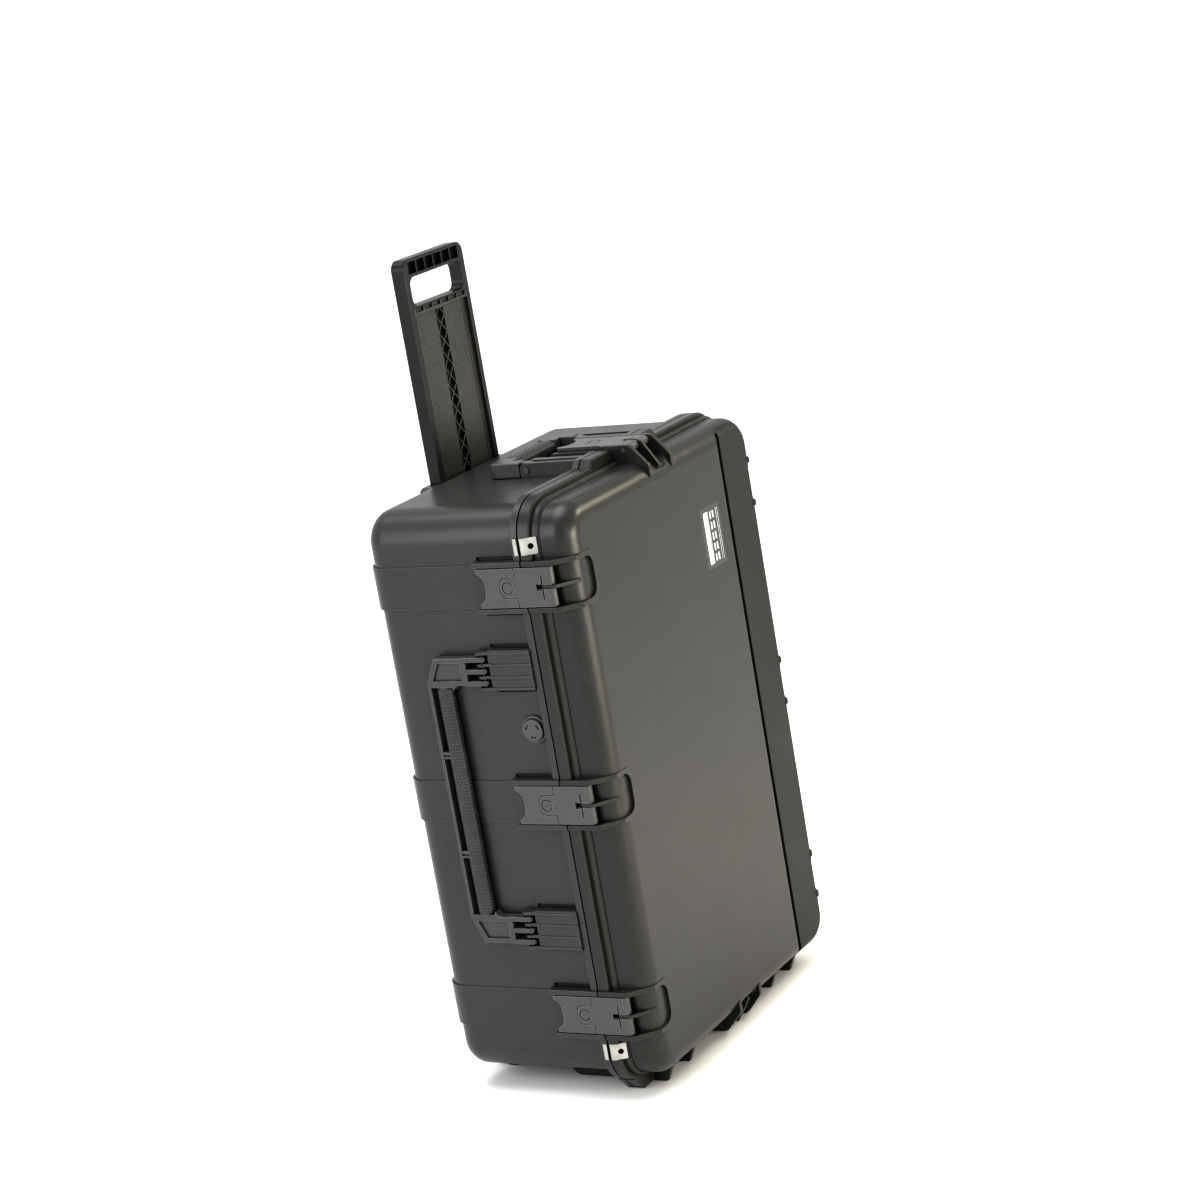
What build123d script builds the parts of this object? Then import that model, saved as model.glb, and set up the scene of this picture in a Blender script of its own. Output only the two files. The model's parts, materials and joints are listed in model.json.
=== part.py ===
"""Wheeled hard equipment case with five latches, two carry handles and a pull handle.

The case stands on one end. +Z is up its long axis, the lid faces -Y, the latches and the
carry handle are on the -X side and the lid hinges are on the +X side. Z is 0 at the floor.
Sketch positions are measured from the middle of the seam between lid and base.
"""

import os

from build123d import *

# Driving dimensions, in millimetres
BODY_W = 271.4  # half width of the moulded walls
BODY_L = 408.0  # half length of the moulded walls
BODY_R = 45.0  # corner radius seen from the lid
BASE_D = 254.9  # seam to the base's bottom face
BASE_EDGE_R = 30.0
LID_D = 73.7  # seam to the lid's main panel
LID_EDGE_R = 28.0
LOOP_RISE = 0.9  # raised border of the latch pockets on the lid face
STRIP_DROP = 2.8  # strip along the hinge side of the lid face, and the groove beside it
GROOVE_X = (173.5, 180.5)
GROOVE_DEPTH = 7.5
WALL = 5.0
LID_WALL = 6.0
SEAM_GAP = 1.2  # each shell stops this far from the seam plane
FLANGE = 11.6  # rim flange, proud of the front and end walls
HINGE_FLANGE = 5.1  # rim flange on the hinge side, clear of the hinge pins
FLANGE_BASE = 12.0
FLANGE_LID = 17.0
FLOOR = 437.0  # middle of the case to the floor it stands on
WHEEL_R = 37.0
WHEEL_Y = 229.0
WHEEL_Z = -400.0
WHEEL_X = 169.0  # middle of each wheel
WHEEL_W = 30.0
SEAM_Y = (LID_D + LOOP_RISE - WHEEL_Y - WHEEL_R) / 2
STATION = 305.2  # outer latch and hinge stations, from the middle
RAIL_IN = 28.7  # guard rails beside each latch
RAIL_OUT = 35.2
RAIL_H = 14.6
END_LIFT = 12.0  # the two end latches lie this much further out than the others
END_RAIL_H = 8.4 + END_LIFT  # low enough for a closed end latch to swing over with the lid
PIN_R = 2.5
RUN = 0.06  # radial clearance of a turning fit
LATCH_PIN = (-38.0, 7.6)  # from the seam, and out from the wall
TRIGGER_PIN = (20.0, 11.4)
TRIGGER_PIN_R = 1.5
HINGE_PIN = (0.0, 12.1)
EYE_R = 6.5  # hinge eyes
HANDLE_PIN = (90.0, 9.6)
TOP_HANDLE_PIN = (90.0, 10.8)
HANDLE_PIN_R = 3.0
BLADE_W = 160.8  # pull handle
BLADE_Y = (236.4, 257.0)
BLADE_TOP = 723.0
BLADE_LEN = 404.0
PANEL_DEPTH = 5.0  # the panel's surface behind the blade's raised border
COVER_Y = (257.9, 261.5)
COVER_Z = (18.0, 398.0)
RECESS_DEPTH = 3.2  # narrow recesses beside the rails and brackets
RECESS_WIDTH = 5.6
BRACKET_HALF = 28.4
FIN_S = (-24.8, -8.5, 8.5, 24.8)  # a front bracket's fins, across it
PRONG_S = (-16.6, 0, 16.6)  # the front handle's prongs between them
HANDLE_Z = 4.5  # middle of the front handle
BRACKET_Z = 186.5  # from the handle's middle to each bracket
PLATE_Z = 360.0  # padlock plates
VALVE_Y = 31.5
VALVE_Z = 104.0
FOOT_X = 166.0
THROUGH = 60.0  # cutters' reach past what they cut
PLATE_FOLD = [(-3.0, FLANGE - 1.2), (-8.5, FLANGE - 1.2), (-23.0, 0.6)]  # seat of a lock plate
PLATE_T = 1.6
LOCK_HOLE_R = 4.0
LOCK_HOLE_DEPTH = 8.0
ARM_W = (9.0, 14.4)  # latch plates, out from the wall
ARM_HALF = 27.0
ARM_END = 11.9  # where the trigger's plate meets the arm's
TONGUE_HALF = 13.6
TONGUE_END = 37.0
TRIGGER_TIP = 72.0
SCALLOP = [(73, -21.5), (69.5, -20.5), (62, -13), (60.6, 0), (62, 13), (69.5, 20.5), (73, 21.5)]
HANDLE_W = (2.6, 17.6)  # carry handles, out from the wall
GRIP_HALF = 165.0
BRIDGES = (76.5, -67.5)  # bridges between the front handle's rail and its grip
TOP_GRIP_HALF = 52.0


def slice_plane(z):
    """Level plane: X, and Y from the seam. Extrudes up."""
    return Plane(origin=(0, SEAM_Y, FLOOR + z), x_dir=(1, 0, 0), z_dir=(0, 0, 1))


def face_plane(y):
    """Upright plane parallel to the lid face: X, and Z from the middle. Extrudes towards the lid."""
    return Plane(origin=(0, SEAM_Y + y, FLOOR), x_dir=(1, 0, 0), z_dir=(0, -1, 0))


def side_plane(x):
    """Upright plane parallel to the front side: Y and Z. Extrudes towards the hinges."""
    return Plane(origin=(x, SEAM_Y, FLOOR), x_dir=(0, 1, 0), z_dir=(1, 0, 0))


def wall_station(x, z, out):
    """Plane on a wall at the seam: x runs towards the base, y along the seam, z out of the wall."""
    return Plane(origin=(x, SEAM_Y, FLOOR + z), x_dir=(0, 1, 0), z_dir=out)


def profile(station, s=0.0):
    """Cross-section plane of a station, s along the seam: x towards the base, y out of the wall."""
    return Plane(origin=station.from_local_coords((0, s, 0)), x_dir=station.x_dir, z_dir=-station.y_dir)


FRONT, HINGE, TOP, BOTTOM = (-1, 0, 0), (1, 0, 0), (0, 0, 1), (0, 0, -1)
LATCHES = {
    "front_upper": wall_station(-BODY_W, STATION, FRONT),
    "front_middle": wall_station(-BODY_W, 0, FRONT),
    "front_lower": wall_station(-BODY_W, -STATION, FRONT),
    "top_end": wall_station(0, BODY_L, TOP),
    "bottom_end": wall_station(0, -BODY_L, BOTTOM),
}
LIFT = {name: END_LIFT if name.endswith("end") else 0.0 for name in LATCHES}
SEATS = {name: station.offset(LIFT[name]) for name, station in LATCHES.items()}
HINGES = [wall_station(BODY_W, z, HINGE) for z in (STATION, 0, -STATION)]
BRACKETS = [wall_station(-BODY_W, HANDLE_Z + end * BRACKET_Z, FRONT) for end in (1, -1)]
LOCKS = [wall_station(-BODY_W, z, FRONT) for z in (PLATE_Z, -PLATE_Z)]
COVER_SCREWS = [(x, z) for x in (-90, 90) for z in (28, 148, 268, 388)]
FOOT_SCREWS = [(side * FOOT_X, y) for side in (1, -1) for y in (42, 88)]


def write(piece, label):
    """Name a finished piece and write it to its own file."""
    piece.label = label
    export_step(piece, f"parts/{label}.step")


def disc(centre, radius, mode=Mode.ADD):
    """A circle at a point of the current sketch."""
    with Locations(centre):
        Circle(radius, mode=mode)


def box_between(low, high, mode=Mode.ADD):
    """A rectangle between two corners of the current sketch."""
    with Locations(((low[0] + high[0]) / 2, (low[1] + high[1]) / 2)):
        Rectangle(high[0] - low[0], high[1] - low[1], mode=mode)


def body_outline(grow, mode=Mode.ADD):
    """The walls' outline, seen from the lid, grown by an amount."""
    RectangleRounded(2 * (BODY_W + grow), 2 * (BODY_L + grow), BODY_R + grow, mode=mode)


def rim_outline():
    """The rim flange's outline, with its raised stretches at the two ends."""
    low, high = -BODY_W - FLANGE, BODY_W + HINGE_FLANGE
    with Locations(((low + high) / 2, 0)):
        RectangleRounded(high - low, 2 * (BODY_L + FLANGE), BODY_R + FLANGE)
    for end in (1, -1):
        Polygon(
            (-100, end * 400), (-99, end * 419), (-89, end * 430), (89, end * 430), (99, end * 419),
            (100, end * 400), align=None,
        )
        Polygon(
            (end * 112, -400), (end * 114, -419), (end * 128, -435.5), (end * 232, -435.5),
            (end * 254, -414), (end * 240, -400), align=None,
        )


# ---------------------------------------------------------------- base shell


def tub():
    """The base's walls as one block."""
    with BuildPart() as block:
        with BuildSketch(face_plane(SEAM_GAP)):
            body_outline(0)
        extrude(amount=-(BASE_D - SEAM_GAP))
        fillet(block.faces().sort_by(Axis.Y)[-1].edges(), BASE_EDGE_R)
    return block.part


def base_flange():
    """Rim flange of the base."""
    with BuildPart() as flange:
        with BuildSketch(face_plane(SEAM_GAP)):
            rim_outline()
        extrude(amount=-(FLANGE_BASE - SEAM_GAP))
        chamfer(flange.faces().sort_by(Axis.Y)[-1].edges(), 1.5)
    return flange.part


def bands():
    """Three reinforcing bands that run from the latches across the bottom to the hinges."""
    with BuildPart() as straps:
        for z in (STATION, 0, -STATION):
            with BuildSketch(slice_plane(z)) as band:
                box_between((-BODY_W - 1.2, 11), (BODY_W + 1.2, COVER_Y[1]))
                fillet(band.vertices().group_by(Axis.Y)[-1], 36)
            extrude(amount=30, both=True)
    return straps.part


def handle_housing():
    """Raised housing along the bottom face, around the pull handle's channel."""
    with BuildPart() as housing:
        with BuildSketch(face_plane(COVER_Y[1])):
            with Locations((0, 207)):
                RectangleRounded(210, 394, 10)
        extrude(amount=40)
        chamfer(housing.faces().sort_by(Axis.Y)[-1].edges(), 2)
    return housing.part


def base_cavity():
    """The base's inside."""
    with BuildPart() as cavity:
        with BuildSketch(face_plane(-5)):
            body_outline(-WALL)
        extrude(amount=-(BASE_D - WALL + 5))
        fillet(cavity.faces().sort_by(Axis.Y)[-1].edges(), BASE_EDGE_R - WALL)
    return cavity.part


def latch_seat(name):
    """The hollow in the flange that a latch lies in, and room for an end latch to swing with the lid."""
    with BuildPart() as seat:
        with BuildSketch(profile(SEATS[name])):
            box_between((0, 3), (FLANGE_BASE + 2, THROUGH))
        extrude(amount=RAIL_IN, both=True)
        if LIFT[name]:
            with BuildSketch(profile(LATCHES[name])):
                box_between((0, END_RAIL_H), (FLANGE_BASE + 2, THROUGH))
            extrude(amount=RAIL_OUT + 4, both=True)
    return seat.part


def base_rails(name):
    """Two guard rails with rounded ends, and the catch between them."""
    station, lift = LATCHES[name], LIFT[name]
    height = END_RAIL_H if lift else RAIL_H
    with BuildPart() as rails:
        for side in (1, -1):
            middle = side * (RAIL_IN + RAIL_OUT) / 2
            with BuildSketch(profile(station, middle)) as rail:
                box_between((SEAM_GAP, -2), (79, height))
                fillet(rail.vertices().group_by(Axis.X)[-1], 4)
            extrude(amount=(RAIL_OUT - RAIL_IN) / 2, both=True)
        with BuildSketch(profile(station)):
            Polygon((3, -1), (3, 7.4 + lift), (8, 7.4 + lift), (16 + lift / 2, -1), align=None)
        extrude(amount=17, both=True)
    return rails.part


def side_recess(station, inner, end):
    """Narrow recesses in the wall along both sides of a latch's rails or of a bracket."""
    with BuildPart() as recess:
        for side in (1, -1):
            with BuildSketch(station.offset(-RECESS_DEPTH)) as slot:
                with Locations(((FLANGE_BASE + end) / 2, side * (inner + RECESS_WIDTH / 2))):
                    Rectangle(end - FLANGE_BASE, RECESS_WIDTH)
                fillet(slot.vertices().group_by(Axis.X)[-1], 2.4)
            extrude(amount=THROUGH)
    return recess.part


def front_bracket(station):
    """Flat block with fine ridges and four fins that carries one end of the front handle."""
    with BuildPart() as bracket:
        with BuildSketch(station.offset(-1)):
            box_between((11, -BRACKET_HALF), (77, BRACKET_HALF))
        extrude(amount=16)
        chamfer(bracket.faces().sort_by(Axis.X)[0].edges().filter_by(Axis.Y), 1.5)
        for s in FIN_S:
            with BuildSketch(profile(station, s)):
                box_between((11, -1), (77, 16.2))
            extrude(amount=0.9, both=True)
            with BuildSketch(profile(station, s)):
                box_between((72, -1), (HANDLE_PIN[0], 16.2))
                box_between((76, -1), (HANDLE_PIN[0] + 8, HANDLE_PIN[1]))
                disc(HANDLE_PIN, 8.0)
            extrude(amount=1.8, both=True)
        with BuildSketch(profile(station)):
            disc(HANDLE_PIN, HANDLE_PIN_R)
        extrude(amount=THROUGH, both=True, mode=Mode.SUBTRACT)
    return bracket.part


def top_bracket(end):
    """Cheeks that carry one end of the top handle, with a ribbed block down to the rim."""
    station = LATCHES["top_end"]
    with BuildPart() as bracket:
        for low, high in ((57.0, 68.6), (81.0, 87.0)):
            with BuildSketch(profile(station, end * (low + high) / 2)):
                box_between((11, -1), (TOP_HANDLE_PIN[0], 21))
                box_between((80, -1), (TOP_HANDLE_PIN[0] + 10.2, TOP_HANDLE_PIN[1]))
                disc(TOP_HANDLE_PIN, 10.2)
            extrude(amount=(high - low) / 2, both=True)
        with BuildSketch(profile(station, end * 75)):
            box_between((11, -1), (76, 19))
        extrude(amount=9, both=True)
        with BuildSketch(profile(station, end * 75)):
            disc(TOP_HANDLE_PIN, HANDLE_PIN_R)
        extrude(amount=THROUGH, both=True, mode=Mode.SUBTRACT)
    return bracket.part


def base_hinge_lugs(station):
    """Two lugs that hold a hinge pin, running down to the wall."""
    with BuildPart() as lugs:
        for s in (-24, 24):
            with BuildSketch(profile(station, s)):
                disc(HINGE_PIN, EYE_R)
                Polygon(
                    (0, 6), (0, HINGE_PIN[1] + EYE_R), (30, HINGE_PIN[1] + EYE_R), (52, -2), (1, -2),
                    (1, 6), align=None,
                )
                disc(HINGE_PIN, PIN_R, mode=Mode.SUBTRACT)
            extrude(amount=3.5, both=True)
    return lugs.part


def seal_rib():
    """Thin rib around the mouth that presses towards the lid's seal."""
    with BuildPart() as rib:
        with BuildSketch(face_plane(4)):
            body_outline(-0.8)
            body_outline(-2.4, mode=Mode.SUBTRACT)
        extrude(amount=5.2)
    return rib.part


def well_sketch(side, low_y, high_z):
    """Section of a wheel's well or of its liner, with a rounded inner corner."""
    with BuildSketch(side_plane(side * WHEEL_X)) as section:
        box_between((low_y, -BODY_L - 40), (BASE_D + 40, high_z))
        fillet(section.vertices().group_by(Axis.Y)[-1].sort_by(Axis.X)[0], 12)
    return section.sketch


def wheel_liners():
    """Walls around the two wheels' wells, inside the base's outline."""
    with BuildPart() as liners:
        for side in (1, -1):
            extrude(well_sketch(side, 184, -354), amount=WHEEL_W / 2 + 8, both=True)
        add(tub(), mode=Mode.INTERSECT)
    return liners.part


def wheel_wells():
    """The wells' insides, with the axles' holes."""
    with BuildPart() as wells:
        for side in (1, -1):
            extrude(well_sketch(side, 188.5, -358.5), amount=WHEEL_W / 2 + 3, both=True)
            with BuildSketch(side_plane(side * WHEEL_X)):
                disc((WHEEL_Y, WHEEL_Z), 4.0)
            extrude(amount=WHEEL_W / 2 + 9, both=True)
    return wells.part


def channel_liner():
    """Wall between the pull handle's channel and the inside of the case."""
    with BuildPart() as liner:
        with BuildSketch(slice_plane(16)):
            box_between((-BLADE_W / 2 - 7, 230.5), (BLADE_W / 2 + 7, 256))
        extrude(amount=BODY_L - 18)
        add(tub(), mode=Mode.INTERSECT)
    return liner.part


def channel():
    """Slot that the pull handle slides in, and the cover's seat over it."""
    with BuildPart() as slot:
        with BuildSketch(slice_plane(20)):
            box_between((-BLADE_W / 2 - 0.8, 235.4), (BLADE_W / 2 + 0.8, COVER_Y[0]))
        extrude(amount=500)
        with BuildSketch(face_plane(COVER_Y[0])):
            with Locations((0, sum(COVER_Z) / 2)):
                RectangleRounded(197, COVER_Z[1] - COVER_Z[0] + 1, 6)
        extrude(amount=-20)
        with BuildSketch(face_plane(COVER_Y[0])):
            with Locations(COVER_SCREWS):
                Circle(1.8)
        extrude(amount=7)
    return slot.part


def base_holes():
    """Seats for the lock plates, and the holes for the valve and the feet's screws."""
    with BuildPart() as holes:
        for station in LOCKS:
            with BuildSketch(profile(station)):
                box_between((0, FLANGE - 1.2), (8, FLANGE + 5))
            extrude(amount=12, both=True)
        with BuildSketch(side_plane(-BODY_W - 20)):
            disc((VALVE_Y, VALVE_Z), 8.0)
        extrude(amount=40)
        with BuildSketch(slice_plane(-BODY_L - 1)):
            with Locations(FOOT_SCREWS):
                Circle(2.4)
        extrude(amount=WALL + 2)
    return holes.part


def base_shell():
    """The deep half of the case, with everything that is moulded on it."""
    rails = [base_rails(name) for name in LATCHES]
    brackets = [front_bracket(s) for s in BRACKETS] + [top_bracket(end) for end in (1, -1)]
    recesses = [side_recess(LATCHES[name], RAIL_OUT, 76) for name in LATCHES if not LIFT[name]]
    recesses += [side_recess(station, BRACKET_HALF, 79) for station in BRACKETS]
    with BuildPart() as base:
        add([tub(), base_flange(), bands(), handle_housing()])
        add([latch_seat(name) for name in LATCHES], mode=Mode.SUBTRACT)
        add(recesses, mode=Mode.SUBTRACT)
        add(rails + brackets + [base_hinge_lugs(s) for s in HINGES])
        add(base_cavity(), mode=Mode.SUBTRACT)
        add([seal_rib(), wheel_liners(), channel_liner()])
        add([wheel_wells(), channel(), base_holes()], mode=Mode.SUBTRACT)
    write(base.part, "base_shell")


# ---------------------------------------------------------------- lid shell


def rounded_lid(inset, start=0.0):
    """The lid's outer form, or one set in from it by an amount."""
    with BuildPart() as form:
        with BuildSketch(face_plane(-start)):
            body_outline(-inset)
        extrude(amount=LID_D - inset - start)
        fillet(form.faces().sort_by(Axis.Y)[0].edges(), LID_EDGE_R - inset)
    return form.part


def lid_flange():
    """Rim flange of the lid and the lower step behind it."""
    with BuildPart() as flange:
        with BuildSketch(face_plane(-SEAM_GAP)):
            rim_outline()
        extrude(amount=FLANGE_LID - SEAM_GAP)
        chamfer(flange.faces().sort_by(Axis.Y)[0].edges(), 2)
    with BuildPart() as step:
        with BuildSketch(face_plane(-SEAM_GAP)):
            body_outline(4.5)
        extrude(amount=26)
        chamfer(step.faces().sort_by(Axis.Y)[0].edges(), 3)
    return [flange.part, step.part]


def loop_plan(station, low, half, radius):
    """Sketch of a station's pocket as seen from the lid: out of the wall, and along the seam."""
    plan = Plane(origin=station.origin, x_dir=station.z_dir, z_dir=station.x_dir)
    with BuildSketch(plan) as loop:
        with Locations((low + 60, 0)):
            RectangleRounded(120, 2 * half, radius)
    return loop.sketch


def lid_pockets():
    """Pockets at each latch and hinge station that follow the lid's rounded edge."""
    with BuildPart() as pockets:
        for name, station in LATCHES.items():
            reach = -16 if LIFT[name] else -47
            extrude(loop_plan(station, reach, RAIL_IN, 16), amount=-LID_D - 20)
        for station in HINGES:
            extrude(loop_plan(station, -17, RAIL_IN, 10), amount=-LID_D - 20)
        add(rounded_lid(3.5, -60), mode=Mode.SUBTRACT)
    return pockets.part


def lid_loops():
    """Raised borders of the front latches' pockets on the lid face."""
    with BuildPart() as loops:
        for station in (LATCHES[name] for name in LATCHES if not LIFT[name]):
            extrude(loop_plan(station, -52, RAIL_OUT, 23), amount=-LID_D - LOOP_RISE)
            with BuildSketch(profile(station)):
                box_between((-64, -200), (20, 80))
                box_between((-200, -14), (20, 80))
            extrude(amount=THROUGH, both=True, mode=Mode.SUBTRACT)
    return loops.part


def strip_cut():
    """The lower strip along the hinge side of the lid face, and the deep groove beside it."""
    face, rounding = -LID_D, 9.0
    with BuildPart() as cut:
        with BuildSketch(face_plane(face + STRIP_DROP)):
            box_between((GROOVE_X[0], -500), (400, 500))
        extrude(amount=20)
        with BuildSketch(slice_plane(0)):
            box_between((GROOVE_X[0], face - 20), (GROOVE_X[1], face + GROOVE_DEPTH))
            box_between((GROOVE_X[0] - rounding, face - 20), (GROOVE_X[0], face + rounding))
            disc((GROOVE_X[0] - rounding, face + rounding), rounding, mode=Mode.SUBTRACT)
            box_between((0, face + GROOVE_DEPTH), (GROOVE_X[0], 0), mode=Mode.SUBTRACT)
        extrude(amount=398, both=True)
    return cut.part


def lid_seat(station):
    """The lid's side of the hollow between a latch's rails."""
    with BuildPart() as seat:
        with BuildSketch(profile(station)):
            box_between((-34, 3), (0, THROUGH))
            box_between((-50, 0), (-30, THROUGH))
        extrude(amount=RAIL_IN, both=True)
    return seat.part


def lid_rails(station, low, high, height, face, bend, tip):
    """Two rails from the seam over the lid's edge, bending down to its face and ending at a tip."""
    with BuildPart() as rails:
        for side in (1, -1):
            with BuildSketch(profile(station, side * (low + high) / 2)) as fin:
                Polygon(
                    (-SEAM_GAP, -LID_WALL), (-SEAM_GAP, height), (-47, height), (face, bend), (face, tip),
                    (face + 8, tip), (-50, -LID_WALL), align=None,
                )
                fillet(fin.vertices().sort_by_distance((-47, height))[0], 12)
                fillet(fin.vertices().sort_by_distance((face, bend))[0], 10)
            extrude(amount=(high - low) / 2, both=True)
    return rails.part


def centre_rib(name):
    """Thin rib between a latch's two knuckles, running over the lid's edge."""
    lift = LIFT[name]
    with BuildPart() as rib:
        with BuildSketch(profile(LATCHES[name])):
            Polygon(
                (-22, -1), (-22, 9 + lift), (-28, 13.2 + lift), (-48, 13.2 + lift),
                (-71.5, -18 + 0.6 * lift), (-60, -20), (-40, -4), align=None,
            )
        extrude(amount=2.2, both=True)
    return rib.part


def lid_hinge_eyes(station):
    """Eyes around the hinge pin at the ends of the hinge-side rails."""
    with BuildPart() as eyes:
        for side in (1, -1):
            with BuildSketch(profile(station, side * 32)):
                disc(HINGE_PIN, EYE_R)
                Polygon(
                    (0, HINGE_PIN[1] + EYE_R), (-32, HINGE_PIN[1] + EYE_R), (-46, 12), (-46, 0),
                    (-SEAM_GAP, 0), (-SEAM_GAP, 6), (0, 6), align=None,
                )
            extrude(amount=3.5, both=True)
    return eyes.part


def foot_rib(x):
    """Rib on the lid's lower end that stands level with the feet."""
    with BuildPart() as rib:
        with BuildSketch(side_plane(x)):
            Polygon(
                (-SEAM_GAP, -404), (-SEAM_GAP, -FLOOR + 0.3), (-36, -FLOOR + 0.3), (-52, -404),
                align=None,
            )
        extrude(amount=3.5, both=True)
    return rib.part


def lock_seat(station):
    """Slanted plane that a lock plate's outer leaf lies on, centred on its hole, facing out."""
    (y0, w0), (y1, w1) = PLATE_FOLD[1:]
    along = station.x_dir * (y0 - y1) + station.z_dir * (w0 - w1)
    middle = station.from_local_coords(((y0 + y1) / 2, 0, (w0 + w1) / 2))
    return Plane(origin=middle, x_dir=along, z_dir=along.cross(station.y_dir))


def lid_cavity():
    """The lid's inside, with a thicker wall behind the strip's groove."""
    face = -LID_D
    with BuildPart() as cavity:
        add(rounded_lid(LID_WALL, -20))
        with BuildSketch(slice_plane(0)):
            box_between((GROOVE_X[0] - 5, face), (GROOVE_X[1] + 5, face + GROOVE_DEPTH + 4))
        extrude(amount=BODY_L, both=True, mode=Mode.SUBTRACT)
    return cavity.part


def lid_cuts():
    """The seal's groove, the pins' holes and the seats of the label and the lock plates."""
    with BuildPart() as cuts:
        with BuildSketch(face_plane(0)):
            body_outline(0.6)
            body_outline(-3.8, mode=Mode.SUBTRACT)
        extrude(amount=5.0)
        for station in SEATS.values():
            with BuildSketch(profile(station)):
                disc(LATCH_PIN, PIN_R)
            extrude(amount=THROUGH, both=True)
        for station in HINGES:
            with BuildSketch(profile(station)):
                disc(HINGE_PIN, PIN_R + RUN)
            extrude(amount=THROUGH, both=True)
        with BuildSketch(face_plane(-LID_D + 1.2)):
            with Locations((114.7, 262.5)):
                RectangleRounded(60.5, 91, 5)
        extrude(amount=20)
        for station in LOCKS:
            with BuildSketch(profile(station)):
                Polygon(
                    (0, THROUGH), (0, PLATE_FOLD[0][1]), PLATE_FOLD[1], PLATE_FOLD[2],
                    (-27, PLATE_FOLD[2][1]), (-27, THROUGH), align=None,
                )
            extrude(amount=12, both=True)
            with BuildSketch(lock_seat(station)):
                Circle(LOCK_HOLE_R)
            extrude(amount=-LOCK_HOLE_DEPTH)
    return cuts.part


def lid_shell():
    """The shallow half of the case, with its rails, pockets, ribs and hinge eyes."""
    rails = []
    for name, station in LATCHES.items():
        if LIFT[name]:
            rails.append(lid_rails(station, RAIL_IN, RAIL_OUT, RAIL_H + END_LIFT, -LID_D - 0.3, -4, -20))
        else:
            rails.append(lid_rails(station, RAIL_IN, RAIL_OUT, RAIL_H, -LID_D - LOOP_RISE, -14.0, -46.0))
    rails += [lid_rails(s, 28.5, 35.5, RAIL_H, -LID_D + 2.0, -9.0, -17.0) for s in HINGES]
    feet = [foot_rib(side * x) for side in (1, -1) for x in (FOOT_X - 33, FOOT_X + 33)]
    with BuildPart() as lid:
        add([rounded_lid(0, SEAM_GAP)] + lid_flange())
        add(strip_cut(), mode=Mode.SUBTRACT)
        add(lid_loops())
        add([lid_pockets()] + [lid_seat(s) for s in SEATS.values()], mode=Mode.SUBTRACT)
        add(rails + [centre_rib(name) for name in LATCHES] + [lid_hinge_eyes(s) for s in HINGES] + feet)
        add([lid_cavity(), lid_cuts()], mode=Mode.SUBTRACT)
    write(lid.part, "lid_shell")


# ---------------------------------------------------------------- fixed trim


def lock_plates():
    """Folded steel plates on the lid, and the flat ones that meet them on the base."""
    with BuildPart() as upper:
        for station in LOCKS:
            with BuildSketch(profile(station)):
                with BuildLine() as fold:
                    Polyline(*PLATE_FOLD)
                    offset(amount=PLATE_T, side=Side.RIGHT)
                make_face()
            extrude(amount=11.6, both=True)
            with BuildSketch(lock_seat(station).offset(-10)):
                Circle(LOCK_HOLE_R)
            extrude(amount=20, mode=Mode.SUBTRACT)
    write(upper.part, "lock_plates_lid")
    with BuildPart() as lower:
        for station in LOCKS:
            with BuildSketch(profile(station)):
                box_between((SEAM_GAP + 0.7, FLANGE - 1.2), (7.6, FLANGE + 0.4))
            extrude(amount=11.6, both=True)
    write(lower.part, "lock_plates_base")


def lid_seal():
    """Rubber ring in the lid's groove."""
    with BuildPart() as seal:
        with BuildSketch(face_plane(-1.8)):
            body_outline(0.2)
            body_outline(-3.4, mode=Mode.SUBTRACT)
        extrude(amount=3.2)
    write(seal.part, "lid_seal")


def pins():
    """Hinge pins, latch pins and the carry handles' pins."""
    with BuildPart() as hinge:
        for station in HINGES:
            with BuildSketch(profile(station)):
                disc(HINGE_PIN, PIN_R)
            extrude(amount=35.5, both=True)
    write(hinge.part, "hinge_pins")
    with BuildPart() as latch:
        for station in SEATS.values():
            with BuildSketch(profile(station)):
                disc(LATCH_PIN, PIN_R)
            extrude(amount=RAIL_OUT, both=True)
    write(latch.part, "latch_pins")
    with BuildPart() as front:
        for station in BRACKETS:
            with BuildSketch(profile(station)):
                disc(HANDLE_PIN, HANDLE_PIN_R)
            extrude(amount=26.6, both=True)
    write(front.part, "front_handle_pins")
    with BuildPart() as top:
        for end in (1, -1):
            with BuildSketch(profile(LATCHES["top_end"], end * 72)):
                disc(TOP_HANDLE_PIN, HANDLE_PIN_R)
            extrude(amount=15, both=True)
            with BuildSketch(profile(LATCHES["top_end"], end * 87.8)):
                disc(TOP_HANDLE_PIN, 4.6)
            extrude(amount=0.8, both=True)
    write(top.part, "top_handle_pins")


def label_plate():
    """Plain plate in the lid's recess."""
    with BuildPart() as plate:
        with BuildSketch(face_plane(-LID_D + 1.2)):
            with Locations((114.7, 262.5)):
                RectangleRounded(59.7, 90.2, 4.6)
        extrude(amount=1.0)
    write(plate.part, "label_plate")


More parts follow.
